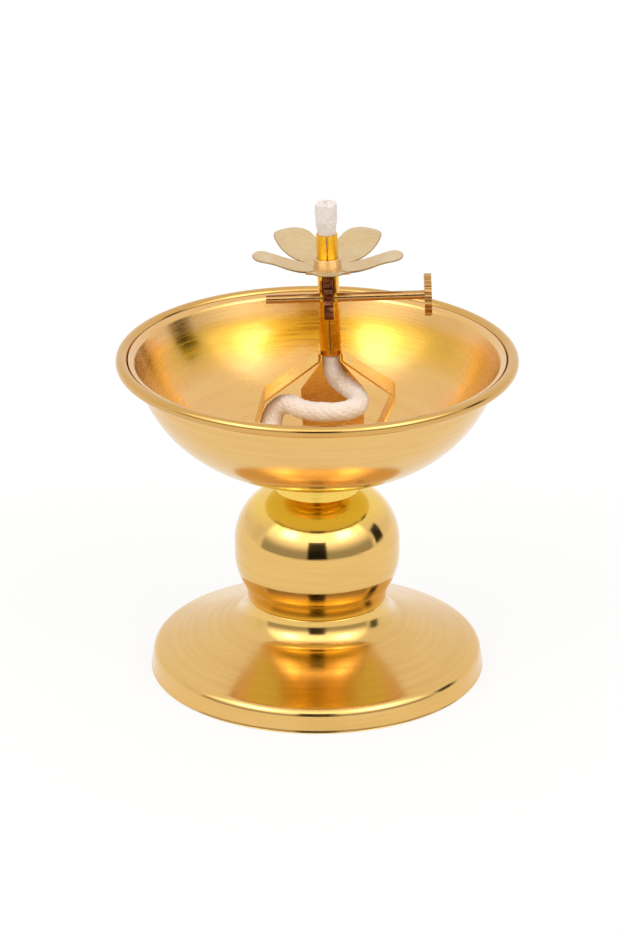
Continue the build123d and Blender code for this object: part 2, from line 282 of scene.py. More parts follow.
# UV in millimetres: round the tube and along it
columnWidth = 2 * np.pi * wick["tailRadius"] / columns
roundOf = np.tile(np.stack([j, j + 1, j + 1, j], -1), (rings - 1, 1)) * columnWidth
ringOf = np.repeat(np.arange(rings - 1), columns)
alongOf = np.stack([along[ringOf], along[ringOf], along[ringOf + 1], along[ringOf + 1]], -1)
plainCorners = capFaces.size + hairFaces.size
uvList = np.concatenate([np.stack([roundOf, alongOf], -1).reshape(-1, 2), np.zeros((plainCorners, 2))])


def rawMesh(name, points, faces, uv, raised):
    mesh = bpy.data.meshes.new(name)
    mesh.from_pydata((points * mm).tolist(), [], faces)
    mesh.attributes.new("raised", 'FLOAT', 'POINT').data.foreach_set("value", raised.astype(np.float32))
    mesh.uv_layers.new(name="along").uv.foreach_set("vector", uv.astype(np.float32).ravel())
    mesh.shade_smooth()
    piece = bpy.data.objects.new(name, mesh)
    scene.collection.objects.link(piece)
    return piece


# how far each point stands out of the braid's grooves, for the painted shade in the grooves
raised = np.concatenate([braid.ravel(), np.ones(len(caps) + wick["fibres"] * hairPoints)])
wickPoints = np.concatenate([tubePoints.reshape(-1, 3), caps, hair.reshape(-1, 3)])
wickPiece = rawMesh("wick_braid", wickPoints, faceList, uvList, raised)
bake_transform(wickPiece)
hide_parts("wick", "wick_tail")
print("wick braided,", round(float(along[-1]), 1), "mm,", len(faceList), "faces")

# Spun foot: skirt, shoulder, cone and waist outside, the same line one wall in, and the hem
foot = dict(
    rim=38.0, skirt=37.25, skirtTop=5.2, skirtRound=2.3, coneTop=12.95, waist=15.8, waistRound=6.0,
    wall=0.8, plate=0.8, hole=2.9, hemWidth=1.6, hemHeight=2.4, hemRound=0.35, hemStep=0.05,
    seamRound=0.3, seamLift=0.1,
)
coneLean = math.atan2(foot["coneTop"] - foot["skirtTop"], foot["skirt"] - foot["waist"])
seam = foot["coneTop"] + foot["waistRound"] * math.tan((math.pi / 2 - coneLean) / 2) + foot["seamLift"]
rim, skirt = (foot["rim"], 0.0), (foot["skirt"], foot["skirtTop"])
cone, top = (foot["waist"], foot["coneTop"]), (foot["waist"], seam)
skirtArc = cornerArc(rim, skirt, cone, foot["skirtRound"], 28)
waistArc = cornerArc(skirt, cone, top, foot["waistRound"], 40)
outside = np.concatenate([
    line((foot["rim"] - foot["hemStep"], foot["hemRound"]), skirtArc[0], 6)[:-1],
    skirtArc,
    line(skirtArc[-1], waistArc[0], 14)[1:-1],
    waistArc[waistArc[:, 1] < seam - foot["seamRound"]],
    arc((foot["waist"] - foot["seamRound"], seam - foot["seamRound"]), foot["seamRound"], 0, 90, 6),
])
inside = offsetLine(outside, foot["wall"])[::-1]
inside = inside[(inside[:, 1] < seam - foot["plate"]) & (inside[:, 1] > foot["hemHeight"])]
hemInner = foot["rim"] - foot["hemWidth"]
footPiece = lathe("foot_spun", [
    (outside, 0),
    (np.array([(foot["hole"], seam), (foot["hole"], seam - foot["plate"])]), 1),
    (inside, 1),
    (np.array([(hemInner, foot["hemHeight"]), (hemInner, foot["hemRound"])]), 1),
    (arc((hemInner + foot["hemRound"], foot["hemRound"]), foot["hemRound"], 180, 270, 6), 1),
    (arc((foot["rim"] - foot["hemRound"], foot["hemRound"]), foot["hemRound"], 270, 350, 6), 0),
])
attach(footPiece, "stand")
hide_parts("foot")
print("foot turned, seam at", round(seam, 3))

# Spun ball stem: arcs that run into each other from the waist up, and a short neck that narrows to the bowl
stem = dict(
    waist=15.8, waistCurve=7.7, ball=18.75, ballRound=13.6, belt=2.7, neckFoot=9.55, neck=8.5, neckLength=5.8115,
    wall=1.0, web=1.5, hole=2.9, seamRound=0.25, waistTop=23.4,
)
ringRadius = stem["ball"] - stem["ballRound"]
lowTurn = math.acos((stem["waist"] + stem["waistCurve"] - ringRadius) / (stem["ballRound"] + stem["waistCurve"]))
highTurn = math.acos((stem["neckFoot"] - ringRadius) / stem["ballRound"])
beltBottom = seam + (stem["waistCurve"] + stem["ballRound"]) * math.sin(lowTurn)
beltTop = beltBottom + stem["belt"]
neckBottom = beltTop + stem["ballRound"] * math.sin(highTurn)
bowlBottom = neckBottom + stem["neckLength"]
lowDeg, highDeg = math.degrees(lowTurn), math.degrees(highTurn)


def stemLine(wall):
    # the outer line for wall 0, and the line that much further in
    ballRound = stem["ballRound"] - wall
    return np.concatenate([
        arc((stem["waist"] + stem["waistCurve"], seam), stem["waistCurve"] + wall, 180, 180 - lowDeg, 20)[:-1],
        arc((ringRadius, beltBottom), ballRound, -lowDeg, 0, 30),
        arc((ringRadius, beltTop), ballRound, 0, highDeg, 44),
        line((stem["neckFoot"] - wall, neckBottom), (stem["neck"] - wall, bowlBottom), 12)[1:],
    ])


inside = stemLine(stem["wall"])
inside = inside[inside[:, 1] < bowlBottom - stem["web"]][::-1]
outside = stemLine(0)
stemPiece = lathe("stem_spun", [
    (arc((stem["waist"] - stem["seamRound"], seam + stem["seamRound"]), stem["seamRound"], -90, 0, 6), 2),
    (outside[(outside[:, 1] > seam + stem["seamRound"]) & (outside[:, 1] < stem["waistTop"])], 2),
    (outside[outside[:, 1] >= stem["waistTop"]], 0),
    (np.array([(stem["neck"], bowlBottom), (stem["hole"], bowlBottom), (stem["hole"], bowlBottom - stem["web"])]), 0),
    (inside, 1),
])
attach(stemPiece, "stand")
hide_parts("stem")
print("stem turned, bowl stands at", round(bowlBottom, 3))

# Spun bowl: flat bottom, round side, lip rolled outwards and the bead round its edge
bowl = dict(
    flat=11.4, curve=30.0, depth=24.8, wall=0.8, roll=2.5, land=0.73, bead=1.3, beadLift=0.3, groove=28,
    inFlat=6.7, inCurve=35.66, inWall=0.4, inSweep=66, inRoll=1.7,
)
sweep = math.degrees(math.acos(1 - bowl["depth"] / (bowl["curve"] + bowl["roll"])))
sideCentre = np.array([bowl["flat"], bowlBottom + bowl["curve"]])
sideEnd = math.radians(sweep)
rollCentre = sideCentre + (bowl["curve"] + bowl["roll"]) * np.array([math.sin(sideEnd), -math.cos(sideEnd)])
lipBottom = bowlBottom + bowl["depth"]
beadCentre = (rollCentre[0] + bowl["land"], lipBottom + bowl["beadLift"])
beadUnder = math.degrees(math.asin(bowl["beadLift"] / bowl["bead"]))
beadOver = math.degrees(math.asin((bowl["wall"] - bowl["beadLift"]) / bowl["bead"]))
# inside: a wider curve than the outside, a short straight cone and a tight roll on to the lip
floorTop, lipTop = bowlBottom + bowl["inWall"], lipBottom + bowl["wall"]
inCentre = (bowl["inFlat"], floorTop + bowl["inCurve"])
inSlope = math.radians(bowl["inSweep"])
coneFoot = np.array(inCentre) + bowl["inCurve"] * np.array([math.sin(inSlope), -math.cos(inSlope)])
coneRise = lipTop - coneFoot[1] - bowl["inRoll"] * (1 - math.cos(inSlope))
coneTop = coneFoot + coneRise * np.array([1 / math.tan(inSlope), 1])
inRollCentre = (coneTop[0] + bowl["inRoll"] * math.sin(inSlope), lipTop - bowl["inRoll"])
bowlPiece = lathe("bowl_spun", [
    (line((0, bowlBottom), (bowl["flat"], bowlBottom), 10)[:-1], 0),
    (arc(sideCentre, bowl["curve"], -90, -90 + sweep, 90)[:-1], 0),
    (arc(rollCentre, bowl["roll"], 90 + sweep, 90, 24), 0),
    (arc(beadCentre, bowl["bead"], 180 + beadUnder, 540 - beadOver + bowl["groove"], 70), 1),
    (arc(inRollCentre, bowl["inRoll"], 90, 90 + bowl["inSweep"], 24), 2),
    (line(coneTop, coneFoot, 8)[1:-1], 2),
    (arc(inCentre, bowl["inCurve"], -90 + bowl["inSweep"], -90, 90), 2),
    (line((bowl["inFlat"], floorTop), (0, floorTop), 10)[1:], 2),
], closed=False)
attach(bowlPiece, "stand")
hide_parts("bowl")
print("bowl turned")

# Flower: a collar on the tube and petals that rise and then droop at the tips
flower = dict(
    collarBottom=20.4, collarHeight=2.2, collarInner=2.38, collarOuter=2.98, collarRound=0.18,
    petals=5, sheet=0.4, start=2.6, startLift=-0.1, startAngle=4, riseRadius=26, riseAngle=23, droopRadius=9,
    length=17.2, crotch=4.5, blunt=2.3, halfWidth=5.3, cup=0.25, cupFrom=5, cupOver=6, inner=2.45, tilt=0.4,
    columns=600, rows=40, edgePoints=9, collarColumns=96,
)


def petalHeight(reach):
    # the petal's mid line in its own plane: an arc that rises, then a tighter arc that turns down
    lean0 = math.radians(flower["startAngle"])
    lean1 = lean0 + math.radians(flower["riseAngle"])
    bendReach = flower["start"] + flower["riseRadius"] * (math.sin(lean1) - math.sin(lean0))
    rise = np.arcsin(np.clip(math.sin(lean0) + (reach - flower["start"]) / flower["riseRadius"], -1, 1))
    droop = np.arcsin(np.clip(math.sin(lean1) - (reach - bendReach) / flower["droopRadius"], -1, 1))
    base = flower["collarBottom"] + flower["startLift"]
    risen = base + flower["riseRadius"] * (math.cos(lean0) - np.cos(rise))
    bend = base + flower["riseRadius"] * (math.cos(lean0) - math.cos(lean1))
    drooped = bend + flower["droopRadius"] * (np.cos(droop) - math.cos(lean1))
    early = reach < bendReach
    return np.where(early, risen, drooped), np.where(early, rise, droop)


# one sheet on a polar grid: the outline's radius is greatest at each petal's middle and least between two
share = 2 * np.pi / flower["petals"]
turn = np.linspace(0, 2 * np.pi, flower["columns"], endpoint=False)[:, None]
middle = np.round((turn + np.pi / 2) / share) * share - np.pi / 2
off = turn - middle
fullness = 1 - np.abs(off / (share / 2)) ** flower["blunt"]
outline = flower["crotch"] + (flower["length"] - flower["crotch"]) * fullness
# each radial section runs out along the top, round the edge and back along the underside
half = flower["sheet"] / 2
run = np.sin(np.linspace(0, np.pi / 2, flower["rows"]))[None, :]
edgeTurn = np.radians(np.linspace(90, -90, flower["edgePoints"]))[None, 1:-1]
out = flower["inner"] + (outline - half - flower["inner"]) * run
r = np.concatenate([out, outline - half + half * np.cos(edgeTurn), out[:, ::-1]], 1)
level = np.concatenate([np.ones_like(run), np.sin(edgeTurn), -np.ones_like(run)], 1)
reach, y = r * np.cos(off), r * np.sin(off)
height, lean = petalHeight(reach)
# petals cup upwards at their sides, more so further out
cupped = np.clip((r - flower["cupFrom"]) / flower["cupOver"], 0, 1)
h = half + half * level + flower["cup"] * (y / flower["halfWidth"]) ** 2 * cupped
px, pz = reach - h * np.sin(lean), height + h * np.cos(lean)
c, s = np.cos(middle), np.sin(middle)
sheetGrid = np.stack([px * c - y * s, px * s + y * c, pz], -1)
sheetFaces = gridFaces(flower["columns"], r.shape[1], closeRows=True, closeCols=True)
# UV: turn round the flower, and how far out towards the cut edge, which is 1
outShare = np.concatenate([0.9 * run, np.ones_like(edgeTurn), 0.9 * run[:, ::-1]], 1)
sheetUv = np.stack(np.broadcast_arrays(turn / (2 * np.pi), outShare), -1).reshape(-1, 2)
# the petals sit a little nearer to level than the leaning collar
hub = np.array([0, 0, flower["collarBottom"]])
sheetTilt = math.radians(flower["tilt"])
sheetPoints = standPlace(sheetGrid.reshape(-1, 3) - hub, tilt=sheetTilt, origin=standPlace(hub))
# collar: a short ring with rounded edges turned about the tube
cBottom, cRound = flower["collarBottom"], flower["collarRound"]
cTop = cBottom + flower["collarHeight"]
collarLine = np.concatenate([
    arc((flower["collarOuter"] - cRound, cBottom + cRound), cRound, -90, 0, 7),
    arc((flower["collarOuter"] - cRound, cTop - cRound), cRound, 0, 90, 7),
    arc((flower["collarInner"] + cRound, cTop - cRound), cRound, 90, 180, 7),
    arc((flower["collarInner"] + cRound, cBottom + cRound), cRound, 180, 270, 7),
])
turn = np.linspace(0, 2 * np.pi, flower["collarColumns"], endpoint=False)[None, :]
r, z = collarLine[:, :1], collarLine[:, 1:]
collar = np.stack(np.broadcast_arrays(r * np.cos(turn), r * np.sin(turn), z), -1)
collarFaces = gridFaces(len(collarLine), flower["collarColumns"], closeRows=True, closeCols=True) + len(sheetPoints)
flowerPoints = np.concatenate([sheetPoints, standPlace(collar.reshape(-1, 3))])
flowerFaces = np.concatenate([sheetFaces, collarFaces])
flowerUv = np.concatenate([sheetUv, np.zeros((collar.size // 3, 2))])[flowerFaces.ravel()]
flowerPiece = newMesh("flower_pressed", flowerPoints, flowerFaces, uv=flowerUv)
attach(flowerPiece, "holder")
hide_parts("flower")
print("flower pressed,", len(flowerPiece.data.polygons), "faces")


# Folded and turned small parts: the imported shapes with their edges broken
def softened(node, name, body, slot, width):
    mesh = nodes[node].data.copy()
    mesh.materials.clear()
    work = bmesh.new()
    work.from_mesh(mesh)
    bmesh.ops.remove_doubles(work, verts=work.verts, dist=1e-6)
    bmesh.ops.dissolve_limit(work, angle_limit=math.radians(0.5), verts=work.verts, edges=work.edges)
    work.to_mesh(mesh)
    work.free()
    mesh.shade_smooth()
    mesh.set_sharp_from_angle(angle=math.radians(30))
    piece = bpy.data.objects.new(name, mesh)
    scene.collection.objects.link(piece)
    bevel = piece.modifiers.new("edges", 'BEVEL')
    bevel.width = width * mm
    bevel.segments = 2
    bevel.limit_method = 'ANGLE'
    bevel.angle_limit = math.radians(32)
    bevel.harden_normals = True
    bevel.use_clamp_overlap = True
    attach(piece, body)
    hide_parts(node)
    return piece


smallParts = dict(
    stand=dict(node="wick_stand", name="stand_folded", body="holder", slot="gold", width=0.07),
    shaft=dict(node="adjuster_shaft", name="shaft_drawn", body="adjuster", slot="dull_brass", width=0.12),
    wheel=dict(node="star_wheel", name="wheel_cut", body="adjuster", slot="dull_brass", width=0.05),
    knob=dict(node="thumb_wheel", name="knob_cut", body="adjuster", slot="dull_brass", width=0.08),
    stud=dict(node="tie_stud", name="stud_plain", body="stand", slot="steel", width=0.1),
    washer=dict(node="clamp_washer", name="washer_stamped", body="stand", slot="steel", width=0.12),
    nut=dict(node="clamp_nut", name="nut_hex", body="stand", slot="steel", width=0.2),
)
small = {key: softened(**values) for key, values in smallParts.items()}
print("small parts softened")


# Node tools
def addNode(tree, kind, sockets=None, **settings):
    node = tree.nodes.new(kind)
    for key, value in settings.items():
        setattr(node, key, value)
    for key, value in (sockets or {}).items():
        if isinstance(value, bpy.types.NodeSocket):
            tree.links.new(value, node.inputs[key])
        else:
            node.inputs[key].default_value = value
    return node


def calc(tree, operation, *values):
    return addNode(tree, 'ShaderNodeMath', dict(enumerate(values)), operation=operation).outputs[0]


def ramp(tree, value, fromMin, fromMax, toMin=0.0, toMax=1.0):
    spread = addNode(tree, 'ShaderNodeMapRange', {"Value": value}, interpolation_type='SMOOTHSTEP')
    for key, number in (("From Min", fromMin), ("From Max", fromMax), ("To Min", toMin), ("To Max", toMax)):
        spread.inputs[key].default_value = number
    return spread.outputs["Result"]


def blendColour(tree, factor, first, second):
    mix = addNode(tree, 'ShaderNodeMix', {0: factor, 6: first, 7: second}, data_type='RGBA')
    return mix.outputs[2]


def newGroup(name, inputs, outputs):
    group = bpy.data.node_groups.new(name, 'ShaderNodeTree')
    for label, value in inputs.items():
        group.interface.new_socket(label, in_out='INPUT', socket_type='NodeSocketFloat').default_value = value
    for label in outputs:
        group.interface.new_socket(label, in_out='OUTPUT', socket_type='NodeSocketFloat')
    return group, group.nodes.new('NodeGroupInput').outputs, group.nodes.new('NodeGroupOutput').inputs


# Lathe marks: noise that changes quickly along the profile and slowly round the axis
turnedMarks, given, wanted = newGroup("turnedMarks", {"Density": 2400.0, "Waver": 1.2}, ["Fine", "Broad"])
place = addNode(turnedMarks, 'ShaderNodeTexCoord').outputs["Object"]
level = addNode(turnedMarks, 'ShaderNodeSeparateXYZ', {0: place}).outputs["Z"]
flatPlace = addNode(turnedMarks, 'ShaderNodeVectorMath', {0: place, 1: (1, 1, 0)}, operation='MULTIPLY').outputs[0]
radius = addNode(turnedMarks, 'ShaderNodeVectorMath', {0: flatPlace}, operation='LENGTH').outputs["Value"]
heading = addNode(turnedMarks, 'ShaderNodeVectorMath', {0: flatPlace}, operation='NORMALIZE').outputs[0]
headingParts = addNode(turnedMarks, 'ShaderNodeSeparateXYZ', {0: heading}).outputs
profilePlace = addNode(turnedMarks, 'ShaderNodeCombineXYZ', {"X": radius, "Y": level}).outputs[0]
facing = calc(turnedMarks, 'MULTIPLY_ADD', headingParts["Y"], 0.7, headingParts["X"])
around = calc(turnedMarks, 'MULTIPLY', facing, given["Waver"])
for label, share, detail in (("Fine", 1.0, 3.0), ("Broad", 0.16, 2.0)):
    # the noise scales its fourth number too, so that is divided out again
    scale = calc(turnedMarks, 'MULTIPLY', given["Density"], share)
    marks = addNode(turnedMarks, 'ShaderNodeTexNoise', {
        "Vector": profilePlace, "W": calc(turnedMarks, 'DIVIDE', around, scale), "Scale": scale, "Detail": detail,
    }, noise_dimensions='4D')
    turnedMarks.links.new(ramp(turnedMarks, marks.outputs["Fac"], 0.32, 0.68), wanted[label])

# Handling: cloudy patches where polish is duller, and sparse pinhole specks
handled, given, wanted = newGroup("handled", {"Patch": 45.0, "Speck": 900.0}, ["Cloud", "Specks"])
place = addNode(handled, 'ShaderNodeTexCoord').outputs["Object"]
cloud = addNode(handled, 'ShaderNodeTexNoise', {
    "Vector": place, "Scale": given["Patch"], "Detail": 4.0, "Roughness": 0.6,
})
handled.links.new(ramp(handled, cloud.outputs["Fac"], 0.35, 0.7), wanted["Cloud"])
pits = addNode(handled, 'ShaderNodeTexVoronoi', {"Vector": place, "Scale": given["Speck"], "Randomness": 1.0})
chosen = addNode(handled, 'ShaderNodeTexNoise', {"Vector": place, "Scale": 160.0, "Detail": 1.0})
pinhole = ramp(handled, pits.outputs["Distance"], 0.22, 0.1)
sparse = ramp(handled, chosen.outputs["Fac"], 0.58, 0.66)
handled.links.new(calc(handled, 'MULTIPLY', pinhole, sparse), wanted["Specks"])

# Rolled sheet: long fine scratches along one way and a fine crystal sparkle
rolledSheet, given, wanted = newGroup("rolledSheet", {"Fineness": 1500.0, "Sparkle": 5200.0}, ["Grain", "Glints"])
place = addNode(rolledSheet, 'ShaderNodeTexCoord').outputs["Object"]
stretched = addNode(rolledSheet, 'ShaderNodeVectorMath', {0: place, 1: (0.25, 0.25, 1.0)}, operation='MULTIPLY')
grain = addNode(rolledSheet, 'ShaderNodeTexNoise', {
    "Vector": stretched.outputs[0], "Scale": given["Fineness"], "Detail": 4.0, "Roughness": 0.65,
})
rolledSheet.links.new(ramp(rolledSheet, grain.outputs["Fac"], 0.3, 0.7), wanted["Grain"])
glints = addNode(rolledSheet, 'ShaderNodeTexVoronoi', {"Vector": place, "Scale": given["Sparkle"], "Randomness": 1.0})
oneChannel = addNode(rolledSheet, 'ShaderNodeSeparateColor', {0: glints.outputs["Color"]}).outputs[0]
rolledSheet.links.new(oneChannel, wanted["Glints"])


def newMaterial(name):
    material = bpy.data.materials.new(name)
    material.use_nodes = True
    return material, material.node_tree, material.node_tree.nodes["Principled BSDF"]


def useGroup(tree, group, **values):
    node = addNode(tree, 'ShaderNodeGroup', node_tree=group)
    for key, value in values.items():
        node.inputs[key].default_value = value
    return node.outputs


# Painted reflection: a deeper gold tone by height in metres, where the metal reflects other gold parts; it comes in
# from the first value to the second, and where there are four it goes out again from the last to the third
def paintedReflectionTone(tree, tone, reflectedTone, heights):
    if not heights:
        return tone
    place = addNode(tree, 'ShaderNodeTexCoord').outputs["Object"]
    level = addNode(tree, 'ShaderNodeSeparateXYZ', {0: place}).outputs["Z"]
    reflectionZone = ramp(tree, level, *heights[:2])
    if len(heights) == 4:
        reflectionZone = calc(tree, 'MULTIPLY', reflectionZone, ramp(tree, level, *heights[2:]))
    return blendColour(tree, reflectionZone, tone, (*reflectedTone, 1))


# Turned gold: gilt brass under clear lacquer, with lathe marks, dull patches and specks
def turnedGold(name, colour, deep, roughness, marks, density, bump, coat, reflectedTone=None, heights=()):
    material, tree, shader = newMaterial(name)
    lines = useGroup(tree, turnedMarks, Density=density)
    wear = useGroup(tree, handled)
    shade = calc(tree, 'MULTIPLY_ADD', lines["Broad"], 0.55, calc(tree, 'MULTIPLY', wear["Cloud"], 0.35))
    tone = blendColour(tree, shade, (*colour, 1), (*deep, 1))
    # painted reflection: a deeper tone by height where the gold reflects other gold parts
    tone = paintedReflectionTone(tree, tone, reflectedTone, heights)
    specked = blendColour(tree, calc(tree, 'MULTIPLY', wear["Specks"], 0.25), tone, (0.3, 0.15, 0.04, 1))
    tree.links.new(specked, shader.inputs["Base Color"])
    dull = calc(tree, 'MULTIPLY_ADD', lines["Fine"], marks, roughness)
    dull = calc(tree, 'MULTIPLY_ADD', lines["Broad"], marks, dull)
    tree.links.new(calc(tree, 'MULTIPLY_ADD', wear["Cloud"], 0.05, dull), shader.inputs["Roughness"])
    relief = calc(tree, 'MULTIPLY_ADD', lines["Broad"], 1.5, lines["Fine"])
    ridge = addNode(tree, 'ShaderNodeBump', {"Strength": bump, "Distance": 0.00002, "Height": relief})
    tree.links.new(ridge.outputs[0], shader.inputs["Normal"])
    shader.inputs["Metallic"].default_value = 1
    shader.inputs["Coat Weight"].default_value = coat
    shader.inputs["Coat Roughness"].default_value = 0.12
    return material


# reflectedTone and heights paint a deeper tone where a part reflects other gold parts
goldFinishes = dict(
    footTop=dict(
        name="goldFoot", colour=(0.81, 0.505, 0.165), deep=(0.76, 0.45, 0.13), roughness=0.09, marks=0.05, density=5200,
        bump=0.12, coat=0.25, reflectedTone=(0.84, 0.53, 0.15), heights=(0.0125, 0.0165),
    ),
    hollow=dict(
        name="goldHollow", colour=(0.66, 0.39, 0.12), deep=(0.52, 0.28, 0.08), roughness=0.32, marks=0.10, density=900,
        bump=0.25, coat=0.0,
    ),
    ball=dict(
        name="goldBall", colour=(0.81, 0.515, 0.165), deep=(0.77, 0.47, 0.14), roughness=0.05, marks=0.03, density=5200,
        bump=0.06, coat=0.15, reflectedTone=(0.93, 0.61, 0.12), heights=(0.0375, 0.0415),
    ),
    waist=dict(
        name="goldWaist", colour=(0.84, 0.51, 0.06), deep=(0.78, 0.44, 0.045), roughness=0.13, marks=0.05, density=4200,
        bump=0.12, coat=0.2,
    ),
    bowlOut=dict(
        name="goldBowlOut", colour=(0.82, 0.52, 0.18), deep=(0.78, 0.47, 0.15), roughness=0.12, marks=0.05,
        density=5200, bump=0.10, coat=0.2, reflectedTone=(0.75, 0.62, 0.17), heights=(0.0575, 0.0525),
    ),
    lip=dict(
        name="goldLip", colour=(0.72, 0.42, 0.125), deep=(0.66, 0.37, 0.10), roughness=0.11, marks=0.05, density=5200,
        bump=0.08, coat=0.2,
    ),
    bowlIn=dict(
        name="goldBowlIn", colour=(0.85, 0.50, 0.15), deep=(0.80, 0.445, 0.12), roughness=0.15, marks=0.09,
        density=2600, bump=0.16, coat=1.0, reflectedTone=(0.77, 0.42, 0.025), heights=(0.060, 0.067, 0.0725, 0.0695),
    ),
)
gold = {key: turnedGold(**values) for key, values in goldFinishes.items()}
# in the order of the lathe profiles' finish numbers
turnedPieces = (
    (footPiece, ("footTop", "hollow")),
    (stemPiece, ("ball", "hollow", "waist")),
    (bowlPiece, ("bowlOut", "lip", "bowlIn")),
)
for piece, keys in turnedPieces:
    for key in keys:
        piece.data.materials.append(gold[key])
print("gold finishes made")


# Sheet metal: rolled grain, glints and dull patches
def sheetMetal(name, colour, deep, roughness, grain, glint, bump, fineness, coat, reflectedTone=None, heights=()):
    material, tree, shader = newMaterial(name)
    sheet = useGroup(tree, rolledSheet, Fineness=fineness)
    wear = useGroup(tree, handled, Patch=140.0)
    shade = calc(tree, 'MULTIPLY_ADD', sheet["Grain"], grain, calc(tree, 'MULTIPLY', wear["Cloud"], 0.4))
    shade = calc(tree, 'MULTIPLY_ADD', sheet["Glints"], glint, shade)
    tone = blendColour(tree, shade, (*colour, 1), (*deep, 1))
    # painted reflection: a deeper tone by height where the sheet reflects the gold bowl
    tree.links.new(paintedReflectionTone(tree, tone, reflectedTone, heights), shader.inputs["Base Color"])
    dull = calc(tree, 'MULTIPLY_ADD', sheet["Grain"], 0.12, roughness)
    tree.links.new(calc(tree, 'MULTIPLY_ADD', wear["Cloud"], 0.08, dull), shader.inputs["Roughness"])
    relief = calc(tree, 'MULTIPLY_ADD', sheet["Glints"], 0.6, sheet["Grain"])
    ridge = addNode(tree, 'ShaderNodeBump', {"Strength": bump, "Distance": 0.00003, "Height": relief})
    tree.links.new(ridge.outputs[0], shader.inputs["Normal"])
    shader.inputs["Metallic"].default_value = 1
    shader.inputs["Coat Weight"].default_value = coat
    shader.inputs["Coat Roughness"].default_value = 0.15
    return material


# the stand's reflectedTone paints a deeper tone on the tube where it reflects the gold bowl
sheetFinishes = dict(
    stand=dict(
        name="goldStand", colour=(0.83, 0.56, 0.23), deep=(0.77, 0.50, 0.18), roughness=0.17, grain=0.15, glint=0.05,
        bump=0.03, fineness=1500, coat=0.1, reflectedTone=(0.88, 0.50, 0.03), heights=(0.068, 0.074),
    ),
    petal=dict(
        name="paleGold", colour=(0.82, 0.62, 0.35), deep=(0.69, 0.50, 0.26), roughness=0.32, grain=0.3, glint=0.35,
        bump=0.35, fineness=2600, coat=0.2,
    ),
    shaft=dict(
        name="drawnBrass", colour=(0.60, 0.34, 0.12), deep=(0.52, 0.28, 0.09), roughness=0.12, grain=0.2, glint=0.1,
        bump=0.06, fineness=4200, coat=0.2,
    ),
    # star wheel: a bronze colour painted much darker, as painted shade for the window between the ears
    wheel=dict(
        name="bronzeDarkForShade", colour=(0.32, 0.11, 0.04), deep=(0.14, 0.04, 0.016), roughness=0.2, grain=0.5, glint=0.3,
        bump=0.4, fineness=4200, coat=0.3,
    ),
    knob=dict(
        name="knobBrass", colour=(0.58, 0.34, 0.11), deep=(0.46, 0.24, 0.07), roughness=0.14, grain=0.3, glint=0.15,
        bump=0.12, fineness=4200, coat=0.3,
    ),
    steel=dict(
        name="zincSteel", colour=(0.60, 0.60, 0.58), deep=(0.40, 0.40, 0.39), roughness=0.32, grain=0.4, glint=0.5,
        bump=0.3, fineness=1200, coat=0.0,
    ),
)
metal = {key: sheetMetal(**values) for key, values in sheetFinishes.items()}
# painted shade: the petals are darker along their rounded outer edges
petalTree = metal["petal"].node_tree
petalShader = petalTree.nodes["Principled BSDF"]
petalPlace = addNode(petalTree, 'ShaderNodeUVMap', uv_map="along").outputs[0]
outward = addNode(petalTree, 'ShaderNodeSeparateXYZ', {0: petalPlace}).outputs["Y"]
petalTone = petalShader.inputs["Base Color"].links[0].from_socket
edgeShadeShare = calc(petalTree, 'MULTIPLY', ramp(petalTree, outward, 0.88, 0.93), 0.8)
edgeShadeTone = blendColour(petalTree, edgeShadeShare, petalTone, (0.40, 0.27, 0.10, 1))
petalTree.links.new(edgeShadeTone, petalShader.inputs["Base Color"])
flowerPiece.data.materials.append(metal["petal"])
# stud, washer and nut have no finish of their own and are steel
for key, piece in small.items():
    piece.data.materials.append(metal.get(key, metal["steel"]))
print("sheet finishes made")

# Cotton: off-white yarn with painted shade in the braid's grooves and inside the stand's tube, and oiled below it;
# From and To are millimetres along the wick from its lit end
cottonLook = dict(
    shade=(0.66, 0.58, 0.54, 1), light=(0.86, 0.79, 0.75, 1), tuft=(0.86, 0.72, 0.58, 1), tuftShare=0.35,
    groove=(0.52, 0.40, 0.32, 1), grooveFrom=10, grooveTo=36, grooveLit=0.08, grooveTail=0.3,
    oil=(0.87, 0.76, 0.66, 1), oilFrom=34, oilTo=44,
    tubeShade=(0.34, 0.19, 0.07, 1), tubeShadeShare=0.8, tubeShadeFrom=16, tubeShadeFull=20, tubeShadeFade=33, tubeShadeTo=36,
)
cotton, tree, shader = newMaterial("cottonYarn")
uvPlace = addNode(tree, 'ShaderNodeUVMap', uv_map="along").outputs[0]
fineYarn = addNode(tree, 'ShaderNodeVectorMath', {0: uvPlace, 1: (5.0, 1.6, 1.0)}, operation='MULTIPLY').outputs[0]
yarn = addNode(tree, 'ShaderNodeTexNoise', {
    "Vector": fineYarn, "Scale": 1.6, "Detail": 5.0, "Roughness": 0.7, "Distortion": 0.6,
}).outputs["Fac"]
tuft = addNode(tree, 'ShaderNodeTexNoise', {"Vector": uvPlace, "Scale": 0.7, "Detail": 3.0}).outputs["Fac"]
tone = blendColour(tree, ramp(tree, yarn, 0.3, 0.7), cottonLook["shade"], cottonLook["light"])
alongWick = addNode(tree, 'ShaderNodeSeparateXYZ', {0: uvPlace}).outputs["Y"]
standsOut = addNode(tree, 'ShaderNodeAttribute', attribute_name="raised").outputs["Fac"]
